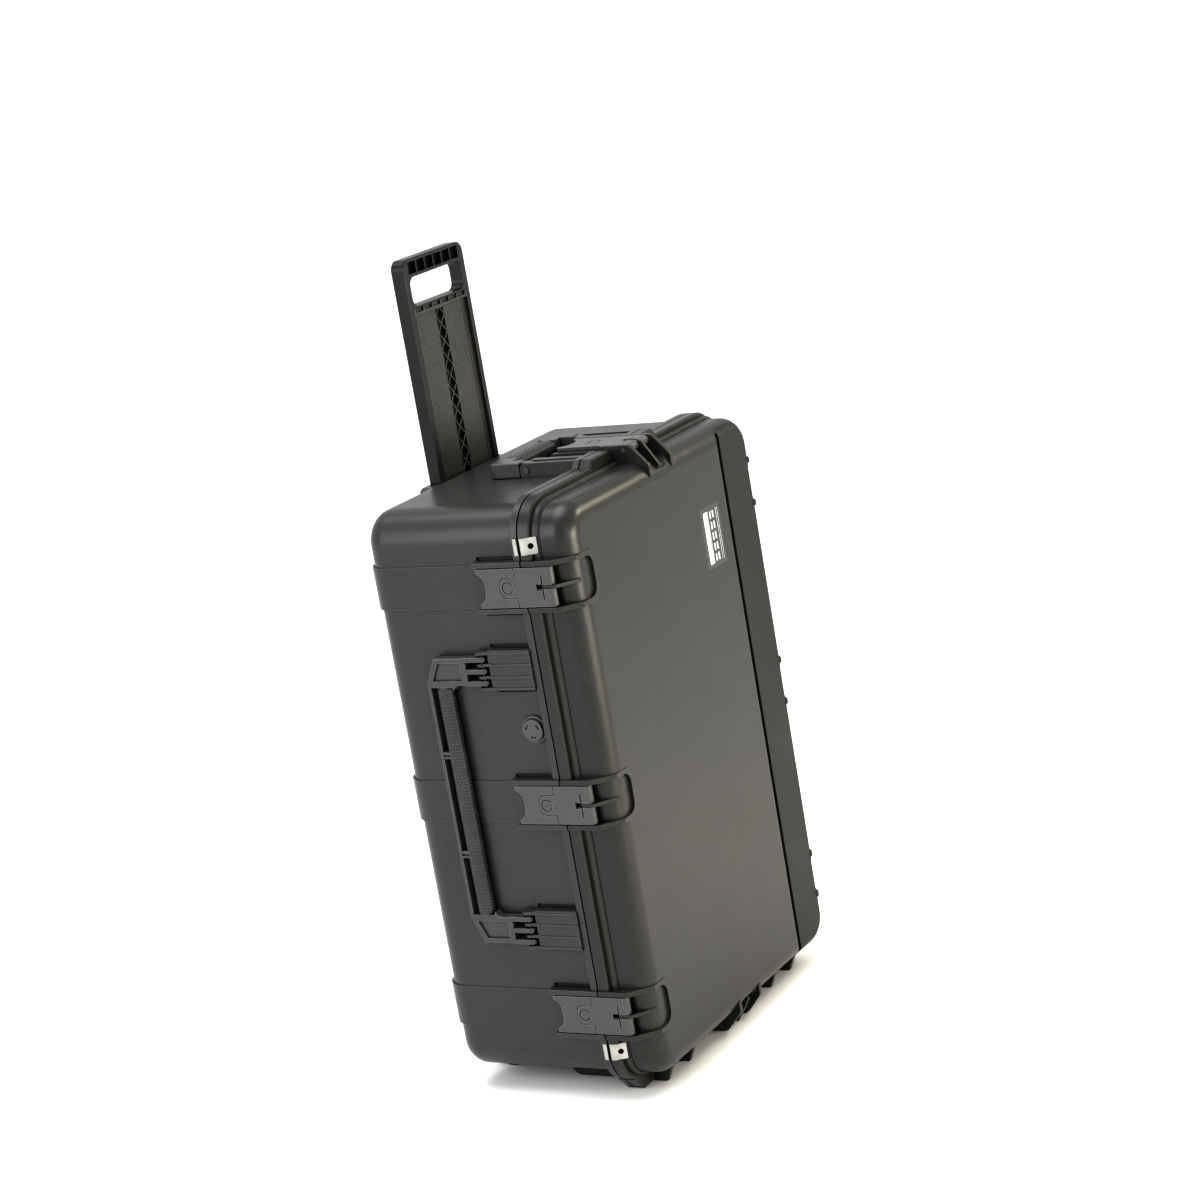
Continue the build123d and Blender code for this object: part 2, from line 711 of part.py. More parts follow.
def valve():
    """Pressure valve: threaded body through the wall, turning cap outside and nut inside."""
    outer = side_plane(-BODY_W)
    with BuildPart() as body:
        with BuildSketch(outer):
            disc((VALVE_Y, VALVE_Z), 19.5)
        extrude(amount=-3.5)
        chamfer(body.faces().sort_by(Axis.X)[0].edges(), 1)
        with BuildSketch(outer):
            disc((VALVE_Y, VALVE_Z), 8.0)
        extrude(amount=16)
        with BuildSketch(outer):
            disc((VALVE_Y, VALVE_Z), 3.0)
        extrude(amount=-6.5)
    write(body.part, "valve_body")
    with BuildPart() as cap:
        with BuildSketch(outer.offset(-3.8)):
            disc((VALVE_Y, VALVE_Z), 15.5)
        extrude(amount=-4)
        fillet(cap.faces().sort_by(Axis.X)[0].edges(), 1.5)
        with BuildSketch(outer.offset(-3)):
            disc((VALVE_Y, VALVE_Z), 3.0 + RUN)
        extrude(amount=-3.9, mode=Mode.SUBTRACT)
        with BuildSketch(outer.offset(-6.3)):
            with Locations((VALVE_Y, VALVE_Z)):
                with PolarLocations(9.5, 3, 30):
                    SlotOverall(9, 3.4, rotation=90)
        extrude(amount=-5, mode=Mode.SUBTRACT)
    write(cap.part, "valve_cap")
    with BuildPart() as nut:
        with BuildSketch(outer.offset(WALL)):
            with Locations((VALVE_Y, VALVE_Z)):
                RegularPolygon(14, 6)
                Circle(8.0, mode=Mode.SUBTRACT)
        extrude(amount=8)
    write(nut.part, "valve_nut")


def feet():
    """Rubber feet under the base's lower end, and their screws."""
    for side, name in ((-1, "left"), (1, "right")):
        with BuildPart() as foot:
            with BuildSketch(side_plane(side * FOOT_X)) as section:
                Polygon((14, -BODY_L), (14, -FLOOR), (110, -FLOOR), (124, -420), (124, -BODY_L), align=None)
                fillet(section.vertices().sort_by_distance((110, -FLOOR))[0], 14)
            extrude(amount=36, both=True)
            fillet(foot.edges().filter_by(GeomType.LINE).filter_by(Axis.Y).group_by(Axis.Z)[0], 4)
            with BuildSketch(slice_plane(-BODY_L)):
                with Locations([spot for spot in FOOT_SCREWS if spot[0] * side > 0]):
                    Circle(2.4)
            extrude(amount=-40, mode=Mode.SUBTRACT)
            with BuildSketch(slice_plane(-FLOOR + 14)):
                with Locations([spot for spot in FOOT_SCREWS if spot[0] * side > 0]):
                    Circle(6)
            extrude(amount=-20, mode=Mode.SUBTRACT)
        write(foot.part, f"foot_{name}")
    with BuildPart() as screws:
        with BuildSketch(slice_plane(-FLOOR + 14)):
            with Locations(FOOT_SCREWS):
                Circle(5)
        extrude(amount=-3)
        with BuildSketch(slice_plane(-FLOOR + 14)):
            with Locations(FOOT_SCREWS):
                Circle(2.4)
        extrude(amount=FLOOR - 14 - BODY_L + WALL + 2)
    write(screws.part, "foot_screws")


def wheels():
    """Two wheels with rubber tyres, and their axles."""
    for side, name in ((-1, "left"), (1, "right")):
        across = side_plane(side * WHEEL_X)
        hub_at = (WHEEL_Y, WHEEL_Z)
        with BuildPart() as tyre:
            with BuildSketch(across):
                disc(hub_at, WHEEL_R)
                disc(hub_at, WHEEL_R - 8, mode=Mode.SUBTRACT)
            extrude(amount=WHEEL_W / 2, both=True)
            fillet(tyre.edges().filter_by(GeomType.CIRCLE).sort_by(SortBy.RADIUS)[-2:], 4)
        write(tyre.part, f"wheel_{name}_tyre")
        with BuildPart() as hub:
            with BuildSketch(across):
                disc(hub_at, WHEEL_R - 8)
            extrude(amount=WHEEL_W / 2 - 1.5, both=True)
            with BuildSketch(across.offset(5)) as webs:
                disc(hub_at, WHEEL_R - 11.5)
                disc(hub_at, 9.5, mode=Mode.SUBTRACT)
                with Locations(hub_at):
                    for turn in range(5):
                        Rectangle(60, 3.2, rotation=turn * 36, mode=Mode.SUBTRACT)
            extrude(amount=THROUGH, mode=Mode.SUBTRACT)
            mirrored = webs.sketch.mirror(Plane(origin=across.origin, z_dir=across.z_dir))
            extrude(mirrored, amount=THROUGH, dir=(-1, 0, 0), mode=Mode.SUBTRACT)
            with BuildSketch(across):
                disc(hub_at, 4.0 + RUN)
            extrude(amount=THROUGH, both=True, mode=Mode.SUBTRACT)
        write(hub.part, f"wheel_{name}_hub")
    with BuildPart() as axles:
        for side in (1, -1):
            with BuildSketch(side_plane(side * WHEEL_X)):
                disc((WHEEL_Y, WHEEL_Z), 4.0)
            extrude(amount=WHEEL_W / 2 + 8, both=True)
    write(axles.part, "wheel_axles")


# ---------------------------------------------------------------- latches


def latch_arm(name, station):
    """The latch's lever: two knuckles on the lid's pin, a plate, and a tongue for the trigger."""
    low, high = ARM_W
    with BuildPart() as arm:
        with BuildSketch(profile(station)):
            disc(LATCH_PIN, 6.6)
            box_between((LATCH_PIN[0], low), (ARM_END, high))
            Polygon((-38, 3), (-28, 4), (-20, low), (-38, high - 0.4), align=None)
        extrude(amount=ARM_HALF, both=True)
        with BuildSketch(station.offset(low)) as tongue:
            box_between((ARM_END - 1, -TONGUE_HALF), (TONGUE_END, TONGUE_HALF))
            fillet(tongue.vertices().group_by(Axis.X)[-1], 8.5)
        extrude(amount=high - low)
        with BuildSketch(station.offset(-1)):
            box_between((-60, -2.9), (-18.8, 2.9))
        extrude(amount=THROUGH, mode=Mode.SUBTRACT)
        with BuildSketch(station.offset(low - 2)):
            with Locations((TRIGGER_PIN[0], 0)):
                Rectangle(6, 9)
        extrude(amount=6.7, mode=Mode.SUBTRACT)
        with BuildSketch(station.offset(high)):
            disc((26.0, 0), 8.7)
            disc((26.0, 0), 6.9, mode=Mode.SUBTRACT)
        extrude(amount=-1.4, mode=Mode.SUBTRACT)
        with BuildSketch(station.offset(high)):
            box_between((-29.5, -17), (-27.3, 17))
            box_between((-26.6, -4.6), (-18.8, 4.6))
        extrude(amount=-1.6, mode=Mode.SUBTRACT)
        with BuildSketch(profile(station)):
            disc(LATCH_PIN, PIN_R + RUN)
            disc(TRIGGER_PIN, TRIGGER_PIN_R)
        extrude(amount=THROUGH, both=True, mode=Mode.SUBTRACT)
    write(arm.part, f"latch_arm_{name}")


def latch_trigger(name, station):
    """The release lever: a plate notched around the arm's tongue, with a scalloped pull edge."""
    low, high = ARM_W
    with BuildPart() as trigger:
        with BuildSketch(station.offset(low)) as plate:
            box_between((ARM_END + 1.3, -ARM_HALF), (TRIGGER_TIP, ARM_HALF))
            Polygon(*SCALLOP, align=None, mode=Mode.SUBTRACT)
            with Locations(((ARM_END + TONGUE_END) / 2, 0)):
                Rectangle(TONGUE_END - ARM_END + 2.2, 2 * TONGUE_HALF + 2.2, mode=Mode.SUBTRACT)
            fillet(plate.vertices().sort_by_distance((TONGUE_END + 1.1, 0))[:2], 9.2)
            fillet(plate.vertices().sort_by_distance((62, 13))[0], 4)
            fillet(plate.vertices().sort_by_distance((62, -13))[0], 4)
            fillet(plate.vertices().group_by(Axis.X)[-1], 1)
        extrude(amount=high - low)
        with BuildSketch(profile(station)):
            disc(TRIGGER_PIN, TRIGGER_PIN_R + RUN)
        extrude(amount=THROUGH, both=True, mode=Mode.SUBTRACT)
    write(trigger.part, f"latch_trigger_{name}")
    with BuildPart() as pin:
        with BuildSketch(profile(station)):
            disc(TRIGGER_PIN, TRIGGER_PIN_R)
        extrude(amount=ARM_HALF - 1, both=True)
    write(pin.part, f"trigger_pin_{name}")
    with BuildPart() as spring:
        with BuildSketch(profile(station)):
            disc(TRIGGER_PIN, TRIGGER_PIN_R + 0.7)
            disc(TRIGGER_PIN, TRIGGER_PIN_R, mode=Mode.SUBTRACT)
        extrude(amount=4.0, both=True)
    write(spring.part, f"trigger_spring_{name}")


# ---------------------------------------------------------------- carry handles


def prong(station, s):
    """One rounded prong of the front handle around its pin."""
    low, high = HANDLE_W
    tip, half = HANDLE_PIN[0] - 8.0, 3.1
    with BuildPart() as piece:
        with BuildSketch(station.offset(0.5)):
            disc((tip + half, s), half)
            box_between((tip + half, s - half), (119, s + half))
        extrude(amount=18)
        with BuildSketch(profile(station, s)):
            disc(HANDLE_PIN, 8.4)
            box_between((HANDLE_PIN[0], low), (119, high))
        extrude(amount=half + 1, both=True, mode=Mode.INTERSECT)
    return piece.part


def handle_plate(plate):
    """The front handle's flat outline: two cheeks, a thin outer rail and the grip's core."""
    low, high = HANDLE_W
    with BuildPart() as frame:
        with BuildSketch(plate.offset(low)) as outline:
            Polygon(
                (114, -206), (164, -206), (180, -170), (180, 170), (164, 206), (114, 206), (114, 167),
                (134, 167), (146, 155), (146, -155), (134, -167), (114, -167), align=None,
            )
            fillet(outline.vertices().group_by(Axis.X)[-1], 12)
            fillet(outline.vertices().sort_by_distance((134, 167))[0], 9)
            fillet(outline.vertices().sort_by_distance((134, -167))[0], 9)
        extrude(amount=high - low)
        chamfer(frame.faces().sort_by(Axis.X)[0].edges(), 1)
        with BuildSketch(plate):
            box_between((140, -GRIP_HALF), (150, GRIP_HALF))
            box_between((162, -GRIP_HALF), (175, GRIP_HALF))
        extrude(amount=THROUGH, mode=Mode.SUBTRACT)
        for w in (high - 4, low - 6):
            with BuildSketch(plate.offset(w)):
                box_between((140, -GRIP_HALF), (175, GRIP_HALF))
            extrude(amount=10, mode=Mode.SUBTRACT)
        for end in (1, -1):
            with BuildSketch(plate.offset(high - 3)) as pocket:
                top, bottom = BRACKET_Z + 12.6, BRACKET_Z - 12.6
                Polygon(
                    (122, end * top), (158, end * top), (170, end * bottom), (122, end * bottom), align=None,
                )
                fillet(pocket.vertices(), 1.5)
            extrude(amount=THROUGH, mode=Mode.SUBTRACT)
    return frame.part


def bridge(plate, z):
    """A double bar from the front handle's rail over the outer half of its grip."""
    low, high = HANDLE_W
    with BuildPart() as bar:
        with BuildSketch(plate.offset(low)):
            box_between((156, z - 5), (177, z + 5))
        extrude(amount=high - low)
        chamfer(bar.faces().sort_by(Axis.X)[0].edges(), 0.8)
        with BuildSketch(plate.offset(high)):
            box_between((150, z - 2), (175, z + 2))
        extrude(amount=-2, mode=Mode.SUBTRACT)
    return bar.part


def front_handle():
    """Frame of the front carry handle with three prongs at each end, and its grip sleeve."""
    low, high = HANDLE_W
    plate = wall_station(-BODY_W, HANDLE_Z, FRONT)
    with BuildPart() as frame:
        add(handle_plate(plate))
        add([prong(station, s) for station in BRACKETS for s in PRONG_S])
        add([bridge(plate, z) for z in BRIDGES])
        for station in BRACKETS:
            with BuildSketch(profile(station)):
                disc(HANDLE_PIN, HANDLE_PIN_R + RUN)
            extrude(amount=THROUGH, both=True, mode=Mode.SUBTRACT)
    write(frame.part, "front_handle_frame")
    with BuildPart() as grip:
        with BuildSketch(slice_plane(HANDLE_Z)) as section:
            box_between((-BODY_W - high - 1, 144), (-BODY_W - low + 0.6, 168))
            fillet(section.vertices(), 7)
            box_between((-BODY_W - high + 4, 150), (-BODY_W - low - 4, 162), mode=Mode.SUBTRACT)
        extrude(amount=GRIP_HALF, both=True)
        with BuildSketch(plate):
            for z in BRIDGES:
                box_between((155.5, z - 5.2), (170, z + 5.2))
        extrude(amount=THROUGH, mode=Mode.SUBTRACT)
    write(grip.part, "front_handle_grip")


def top_handle():
    """Frame of the end carry handle, and its grip sleeve."""
    low, high = 1.0, 21.6
    station = LATCHES["top_end"]
    with BuildPart() as frame:
        with BuildSketch(station.offset(low)) as outline:
            box_between((102, -87), (151, 87))
            fillet(outline.vertices().group_by(Axis.X)[-1], 10)
            box_between((90, -68), (123, 68), mode=Mode.SUBTRACT)
        extrude(amount=high - low)
        chamfer(frame.faces().sort_by(Axis.Z)[-1].edges(), 1)
        for end in (1, -1):
            with BuildSketch(profile(station, end * 74.8)):
                disc(TOP_HANDLE_PIN, 9.6)
                box_between((TOP_HANDLE_PIN[0], low + 0.4), (106, high - 1.2))
            extrude(amount=5.6, both=True)
        with BuildSketch(station):
            box_between((120, -TOP_GRIP_HALF), (128, TOP_GRIP_HALF))
            box_between((145, -TOP_GRIP_HALF), (155, TOP_GRIP_HALF))
        extrude(amount=THROUGH, mode=Mode.SUBTRACT)
        for w in (high - 4, low - 6):
            with BuildSketch(station.offset(w)):
                box_between((120, -TOP_GRIP_HALF), (155, TOP_GRIP_HALF))
            extrude(amount=10, mode=Mode.SUBTRACT)
        with BuildSketch(profile(station)):
            disc(TOP_HANDLE_PIN, HANDLE_PIN_R + RUN)
        extrude(amount=THROUGH * 2, both=True, mode=Mode.SUBTRACT)
    write(frame.part, "top_handle_frame")
    with BuildPart() as grip:
        with BuildSketch(side_plane(0)) as section:
            box_between((121, BODY_L + low), (151, BODY_L + high + 0.6))
            fillet(section.vertices(), 8)
            box_between((128, BODY_L + low + 3), (145, BODY_L + high - 4), mode=Mode.SUBTRACT)
        extrude(amount=TOP_GRIP_HALF, both=True)
    write(grip.part, "top_handle_grip")


# ---------------------------------------------------------------- pull handle


def pull_handle():
    """The pull handle: a flat blade with a hand window, a ribbed grip bar and a latticed slot."""
    front, back = BLADE_Y
    half = BLADE_W / 2
    bottom = BLADE_TOP - BLADE_LEN
    with BuildPart() as blade:
        with BuildSketch(face_plane(front)) as outline:
            box_between((-half, bottom), (half, BLADE_TOP))
            fillet(outline.vertices().group_by(Axis.Y)[-1], 14)
            fillet(outline.vertices().group_by(Axis.Y)[0], 4)
        extrude(amount=front - back)
        chamfer(blade.faces().sort_by(Axis.Y)[0].edges() + blade.faces().sort_by(Axis.Y)[-1].edges(), 1.5)
        with BuildSketch(face_plane(front - 2)) as window:
            box_between((-68, 656), (68, 697))
            fillet(window.vertices(), 12)
        extrude(amount=-THROUGH, mode=Mode.SUBTRACT)
        panel = front + PANEL_DEPTH
        with BuildSketch(face_plane(panel)) as recess:
            box_between((-71, bottom + 8), (71, 644))
            fillet(recess.vertices(), 3)
        extrude(amount=THROUGH, mode=Mode.SUBTRACT)
        with BuildSketch(face_plane(back - 6)):
            box_between((-66, bottom + 8), (66, 642))
        extrude(amount=-THROUGH, mode=Mode.SUBTRACT)
        with BuildSketch(face_plane(panel + 8.4)):
            box_between((-11, bottom + 12), (11, 641))
        extrude(amount=8.4, mode=Mode.SUBTRACT)
        with BuildSketch(face_plane(panel + 2.4)):
            for row in range(13):
                with Locations((0, bottom + 25 + row * 25)):
                    Rectangle(40, 1.5, rotation=48)
                    Rectangle(40, 1.5, rotation=-48)
            box_between((-11, bottom + 12), (11, 641), mode=Mode.INTERSECT)
        extrude(amount=2.4)
        with BuildSketch(face_plane(panel)):
            box_between((-62, bottom + 8), (-60.8, 644))
            box_between((60.8, bottom + 8), (62, 644))
        extrude(amount=0.8)
        with BuildSketch(face_plane(front + 9)):
            with Locations([(x * 22.4, 710) for x in (-2.5, -1.5, -0.5, 0.5, 1.5, 2.5)]):
                RectangleRounded(20.6, 17, 1.5)
        extrude(amount=THROUGH, mode=Mode.SUBTRACT)
        with BuildSketch(face_plane(front + 3)):
            with Locations([(x * 22.4, 650.5) for x in (-2.5, -1.5, -0.5, 0.5, 1.5, 2.5)]):
                Rectangle(20.6, 6.5)
        extrude(amount=THROUGH, mode=Mode.SUBTRACT)
    write(blade.part, "pull_handle_blade")
    with BuildPart() as cover:
        with BuildSketch(face_plane(COVER_Y[0])):
            with Locations((0, sum(COVER_Z) / 2)):
                RectangleRounded(196, COVER_Z[1] - COVER_Z[0], 5.5)
            with Locations(COVER_SCREWS):
                Circle(1.8, mode=Mode.SUBTRACT)
        extrude(amount=COVER_Y[0] - COVER_Y[1])
        with BuildSketch(face_plane(COVER_Y[1] - 1.6)):
            with Locations(COVER_SCREWS):
                Circle(4.2)
        extrude(amount=-5, mode=Mode.SUBTRACT)
    write(cover.part, "pull_handle_cover")
    with BuildPart() as screws:
        with BuildSketch(face_plane(COVER_Y[0] - 6)):
            with Locations(COVER_SCREWS):
                Circle(1.8)
        extrude(amount=COVER_Y[0] - 6 - COVER_Y[1] + 1.6)
        with BuildSketch(face_plane(COVER_Y[1] - 1.6)):
            with Locations(COVER_SCREWS):
                Circle(3.8)
        extrude(amount=-1.4)
    write(screws.part, "cover_screws")


def main():
    """Make every piece."""
    os.makedirs("parts", exist_ok=True)
    base_shell()
    lid_shell()
    lock_plates()
    lid_seal()
    pins()
    label_plate()
    valve()
    feet()
    wheels()
    for name, station in SEATS.items():
        latch_arm(name, station)
        latch_trigger(name, station)
    front_handle()
    top_handle()
    pull_handle()


main()
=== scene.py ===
import json
import math

import bmesh
import bpy
from mathutils import Matrix, Vector


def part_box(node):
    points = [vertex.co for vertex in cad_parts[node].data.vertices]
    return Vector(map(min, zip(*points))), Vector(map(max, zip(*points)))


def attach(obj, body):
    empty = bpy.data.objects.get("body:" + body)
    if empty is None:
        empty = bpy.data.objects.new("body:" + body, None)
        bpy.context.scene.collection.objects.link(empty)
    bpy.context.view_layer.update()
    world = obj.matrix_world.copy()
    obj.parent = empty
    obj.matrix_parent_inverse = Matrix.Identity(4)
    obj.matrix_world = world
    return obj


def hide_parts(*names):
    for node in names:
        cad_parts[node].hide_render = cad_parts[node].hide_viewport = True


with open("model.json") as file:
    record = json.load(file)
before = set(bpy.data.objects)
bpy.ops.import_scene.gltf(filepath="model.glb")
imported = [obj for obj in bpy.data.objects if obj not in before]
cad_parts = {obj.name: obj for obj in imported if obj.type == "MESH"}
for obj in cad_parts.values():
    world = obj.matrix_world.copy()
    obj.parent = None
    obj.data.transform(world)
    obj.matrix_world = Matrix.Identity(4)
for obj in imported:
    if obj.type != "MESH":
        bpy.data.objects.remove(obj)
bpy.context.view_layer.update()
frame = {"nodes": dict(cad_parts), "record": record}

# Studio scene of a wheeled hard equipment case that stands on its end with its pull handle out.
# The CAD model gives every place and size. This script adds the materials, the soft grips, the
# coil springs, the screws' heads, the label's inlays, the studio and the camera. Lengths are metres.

MM = 0.001
BLACK = (0.0, 0.0, 0.0, 1.0)
LATCHES = ("front_upper", "front_middle", "front_lower", "top_end", "bottom_end")
# The strip on the lid that is drawn darker and rougher lies past this X and below this Y
STRIP_X = 0.180
STRIP_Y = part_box("lid_shell")[0][1] + 0.012
# The pull handle's panel ends at this distance from the middle and below this Z
PANEL_HALF = 0.0712
PANEL_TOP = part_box("pull_handle_blade")[1][2] - 0.072

# Camera: seen from the front corner, a little above, and tilted
AIM = Vector((0.0139, -0.0257, 0.6384))
VIEW_AZIMUTH = math.radians(58.69)
VIEW_HEIGHT = math.radians(13.46)
ROLL = math.radians(-9.88)
DISTANCE = 4.3207
LENS = 91.15


# ---------------------------------------------------------------- shaders


class Shader:
    """One material, whose nodes are added and linked by short calls."""

    def __init__(self, name):
        self.material = bpy.data.materials.new(name)
        self.material.use_nodes = True
        self.tree = self.material.node_tree
        self.surface = self.tree.nodes["Principled BSDF"]
        self.place = self.add("ShaderNodeTexCoord").outputs["Object"]

    def feed(self, socket, value):
        """Link a socket to another one, or give it a value."""
        if isinstance(value, bpy.types.NodeSocket):
            self.tree.links.new(value, socket)
        else:
            socket.default_value = value

    def add(self, kind, settings=None, **inputs):
        """A new node. An underscore in an input's name stands for a space."""
        node = self.tree.nodes.new(kind)
        for key, value in (settings or {}).items():
            setattr(node, key, value)
        for key, value in inputs.items():
            self.feed(node.inputs[key.replace("_", " ")], value)
        return node

    def set(self, **inputs):
        """Values or links for the surface's own sockets."""
        for key, value in inputs.items():
            self.feed(self.surface.inputs[key.replace("_", " ")], value)

    def noise(self, scale, detail=3.0, place=None):
        """Cloudy noise, from 0 to 1, that many features per metre."""
        return self.add(
            "ShaderNodeTexNoise", Vector=place or self.place, Scale=scale, Detail=detail
        ).outputs["Fac"]

    def cells(self, scale):
        """Rounded cells, 0 at their middles, that many per metre."""
        return self.add(
            "ShaderNodeTexVoronoi", {"feature": "SMOOTH_F1"}, Vector=self.place, Scale=scale
        ).outputs["Distance"]

    def turned(self, angles, scale):
        """The place turned by three angles and stretched."""
        return self.add(
            "ShaderNodeMapping", Vector=self.place, Rotation=angles, Scale=scale
        ).outputs["Vector"]

    def fit(self, value, low, high, to_low=0.0, to_high=1.0):
        """A value's range mapped on another, and held within it."""
        return self.add(
            "ShaderNodeMapRange", Value=value, From_Min=low, From_Max=high, To_Min=to_low, To_Max=to_high
        ).outputs["Result"]

    def maths(self, operation, first, second):
        """One arithmetic step."""
        node = self.add("ShaderNodeMath", {"operation": operation})
        self.feed(node.inputs[0], first)
        self.feed(node.inputs[1], second)
        return node.outputs["Value"]

    def mix(self, amount, first, second):
        """Two colours mixed by an amount."""
        node = self.add("ShaderNodeMix", {"data_type": "RGBA"})
        self.feed(node.inputs[0], amount)
        self.feed(node.inputs[6], first)
        self.feed(node.inputs[7], second)
        return node.outputs[2]

    def bump(self, height, depth, strength=1.0, normal=None):
        """A surface normal from a height, in metres at its full range."""
        node = self.add("ShaderNodeBump", Height=height, Distance=depth, Strength=strength)
        if normal:
            self.feed(node.inputs["Normal"], normal)
        return node.outputs["Normal"]

    def edges(self, radius):
        """A normal that rounds every edge by a radius, and how near a point is to an edge."""
        rounded = self.add("ShaderNodeBevel", {"samples": 4}, Radius=radius).outputs["Normal"]
        flat = self.add("ShaderNodeNewGeometry").outputs["Normal"]
        turn = self.add("ShaderNodeVectorMath", {"operation": "DOT_PRODUCT"})
        self.feed(turn.inputs[0], rounded)
        self.feed(turn.inputs[1], flat)
        return rounded, self.fit(turn.outputs["Value"], 0.78, 0.99, 1.0, 0.0)

    def crevices(self, reach):
        """How open a point is to its surroundings, 0 deep in a gap and 1 in the open."""
        node = self.add("ShaderNodeAmbientOcclusion", {"samples": 6, "only_local": False}, Distance=reach)
        return node.outputs["AO"]

    def scratches(self, angles, density):
        """Sparse fine straight scratches in one direction, 1 on a scratch."""
        lines = self.noise(1.0, 2.0, self.turned(angles, (3.0, 420.0, 420.0)))
        patches = self.noise(density, 2.0)
        return self.maths("MULTIPLY", self.fit(lines, 0.71, 0.74), self.fit(patches, 0.56, 0.64))


def shade(colour, factor):
    """A colour made lighter or darker."""
    return tuple(min(1.0, channel * factor) for channel in colour) + (1.0,)


def moulded_plastic(
    name, colour, roughness, grain, depth, wear_and_highlight=0.5, scuffs=0.5, waviness=1.0, mottle=0.08, reach=9 * MM,
    patch=None,
):
    """Black moulded plastic: fine grain, cloudy flow marks, sink marks, scuffs, and polished edges that are
    lightened by a painted highlight, worn in patches.

    grain is its cells per metre, and depth their relief. reach is how far the painted shade reaches out of
    a gap.
    patch is for a darker stretch: its mask's function, how dark it is, and how much rougher.
    """
    shader = Shader(name)
    rounded, edge = shader.edges(1.2 * MM)
    # Ambient occlusion over a short reach: painted shade in narrow grooves, and it keeps the edge highlight
    # out of them.
    near = shader.crevices(3.5 * MM)
    clouds = shader.maths("MULTIPLY", shader.noise(6.0, 6.0), 0.4)
    blotches = shader.maths("MULTIPLY", shader.noise(180.0, 5.0), 0.6)
    tone = shader.fit(shader.maths("ADD", clouds, blotches), 0.34, 0.66)
    base = shader.mix(tone, shade(colour, 1 - mottle), shade(colour, 1 + mottle))
    marks = shader.maths(
        "MAXIMUM",
        shader.scratches((0.3, 0.9, 0.2), 5.0),
        shader.scratches((0.1, -0.6, 0.9), 7.0),
    )
    base = shader.mix(shader.maths("MULTIPLY", marks, 0.6 * scuffs), base, shade(colour, 3.6))
    # Edges lightened: a painted highlight along convex edges, partly broken up in patches as wear, and held
    # out of crevices.
    edge_wear_and_highlight = shader.maths("MULTIPLY", edge, shader.fit(shader.noise(60.0, 3.0), 0.20, 0.70, 0.55, 1.0))
    edge_wear_and_highlight = shader.maths("MULTIPLY", edge_wear_and_highlight, shader.fit(near, 0.82, 0.97))
    base = shader.mix(shader.maths("MULTIPLY", edge_wear_and_highlight, wear_and_highlight), base, shade(colour, 8.0))
    if patch:
        find, darkness, dulling = patch
        mask = find(shader, shader.add("ShaderNodeSeparateXYZ", Vector=shader.place).outputs)
        base = shader.mix(shader.maths("MULTIPLY", mask, darkness), base, BLACK)
    # Painted shade: crevices and gaps are darkened toward black by ambient occlusion, and made rougher.
    gap = shader.maths(
        "MULTIPLY",
        shader.fit(shader.crevices(reach), 0.25, 0.80, 0.06, 1.0),
        shader.fit(near, 0.35, 0.88, 0.02, 1.0),
    )
    base = shader.mix(gap, BLACK, base)
    gloss = shader.fit(shader.noise(16.0, 6.0), 0.3, 0.7, roughness + 0.02, roughness - 0.02)
    gloss = shader.maths("SUBTRACT", gloss, shader.maths("MULTIPLY", edge_wear_and_highlight, 0.14))
    gloss = shader.maths("ADD", gloss, shader.fit(gap, 0.0, 1.0, 0.3, 0.0))
    if patch:
        gloss = shader.maths("ADD", gloss, shader.maths("MULTIPLY", mask, dulling))
    pits = shader.maths("MULTIPLY", shader.noise(grain * 2.1), 0.6)
    sinks = shader.bump(shader.noise(7.0, 1.0), 0.5 * MM * waviness, 0.5, rounded)
    grained = shader.bump(shader.maths("ADD", shader.cells(grain), pits), depth, 0.6, sinks)
    shader.set(Base_Color=base, Roughness=gloss, Normal=grained, Specular_IOR_Level=0.38)
    return shader.material


def hinge_strip(shader, at):
    """The strip along the lid's hinge side, drawn darker and rougher."""
    return shader.maths(
        "MULTIPLY",
        shader.maths("GREATER_THAN", at["X"], STRIP_X),
        shader.maths("LESS_THAN", at["Y"], STRIP_Y),
    )


def pull_border(shader, at):
    """The pull handle's border and grip bar, around its panel, drawn a touch glossier and darkened nearly
    to black as painted shade.
    """
    return shader.maths(
        "MAXIMUM",
        shader.maths("GREATER_THAN", shader.maths("ABSOLUTE", at["X"], 0.0), PANEL_HALF),
        shader.maths("GREATER_THAN", at["Z"], PANEL_TOP),
    )


def rubber(name, colour, roughness, grain, depth):
    """Dull rubber with dust and a coarse grain."""
    shader = Shader(name)
    rounded, edge = shader.edges(1.2 * MM)
    dust = shader.fit(shader.noise(40.0, 6.0), 0.42, 0.72)
    base = shader.mix(shader.maths("MULTIPLY", dust, 0.5), shade(colour, 0.9), shade(colour, 1.9))
    # Painted highlight: the colour is lightened along every edge.
    base = shader.mix(shader.maths("MULTIPLY", edge, 0.3), base, shade(colour, 2.4))
    texture = shader.maths("ADD", shader.cells(grain), shader.noise(grain * 1.7))
    shader.set(
        Base_Color=base,
        Roughness=shader.fit(dust, 0.0, 1.0, roughness - 0.05, roughness + 0.08),
        Normal=shader.bump(texture, depth, 0.6, rounded),
    )
    return shader.material


